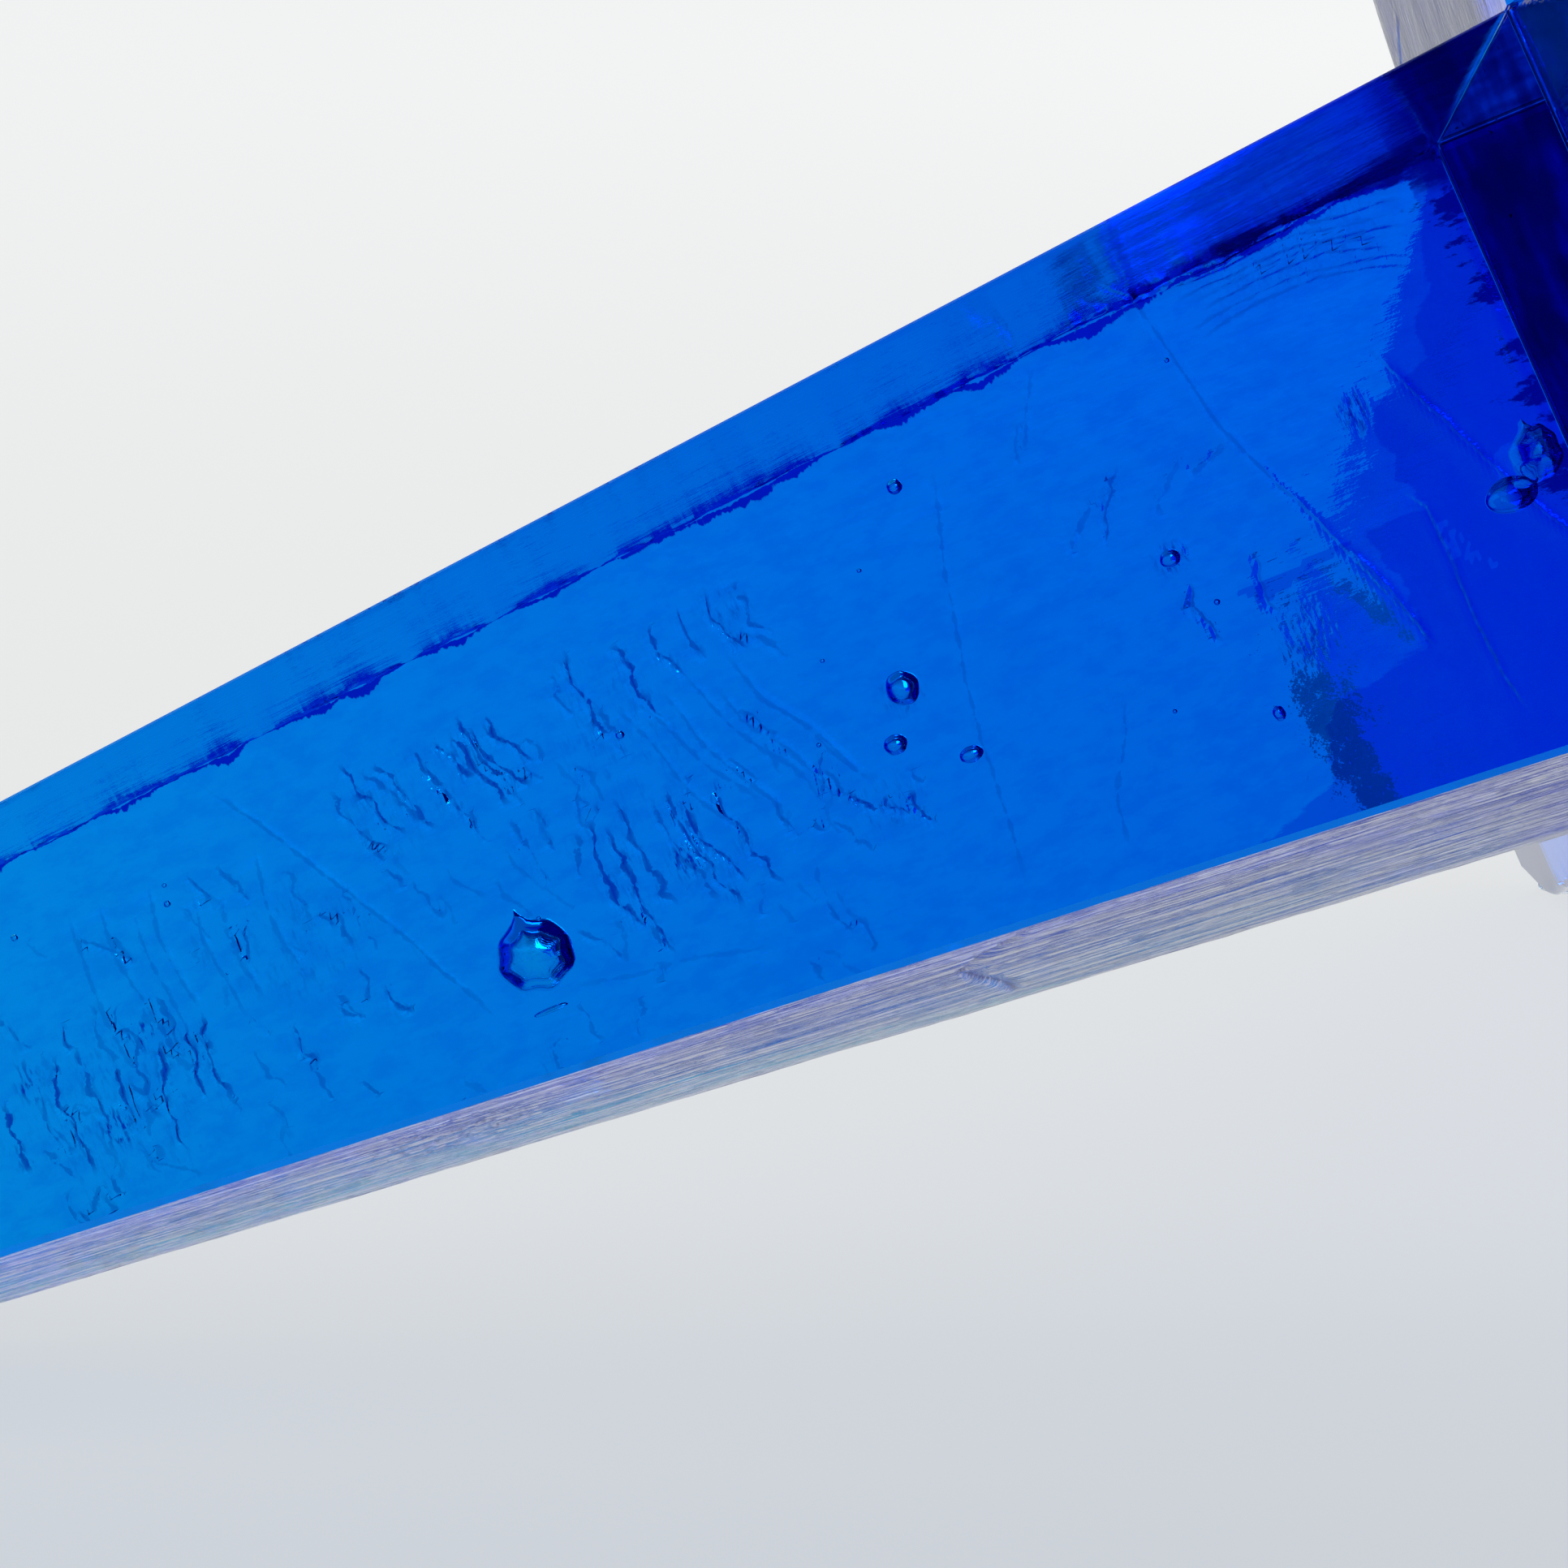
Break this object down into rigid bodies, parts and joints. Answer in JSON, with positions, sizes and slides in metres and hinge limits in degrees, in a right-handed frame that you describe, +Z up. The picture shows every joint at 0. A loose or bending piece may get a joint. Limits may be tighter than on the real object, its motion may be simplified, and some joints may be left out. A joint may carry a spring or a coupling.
{
  "type": "glass sculpture",
  "caption": "Free-standing star sculpture of tapered square arms in clear blue cast glass, bonded at right angles around a cube block and resting on bumper pads.",
  "frame": {"origin": "on the surface that the sculpture stands on, under the centre of its bounding box", "axes": "+Z up; -X over the long left leg's axis; +Y towards the rear leg's foot"},
  "size_m": [0.4132, 0.4042, 0.3616],
  "materials": {
    "blue_glass": "polished faces, mould-rippled sides",
    "clear_bond": "clear, faintly green",
    "clear_pad": "satin, translucent"
  },
  "bodies": {
    "root": {"hub_block": "blue_glass", "leg_left": "blue_glass", "leg_rear": "blue_glass", "leg_short": "blue_glass", "arm_top": "blue_glass", "arm_front": "blue_glass", "arm_right": "blue_glass", "bond_leg_left": "clear_bond", "bond_leg_rear": "clear_bond", "bond_leg_short": "clear_bond", "bond_arm_top": "clear_bond", "bond_arm_front": "clear_bond", "bond_arm_right": "clear_bond", "pad_leg_left": "clear_pad", "pad_leg_rear": "clear_pad", "pad_leg_short": "clear_pad"}
  },
  "joints": []
}
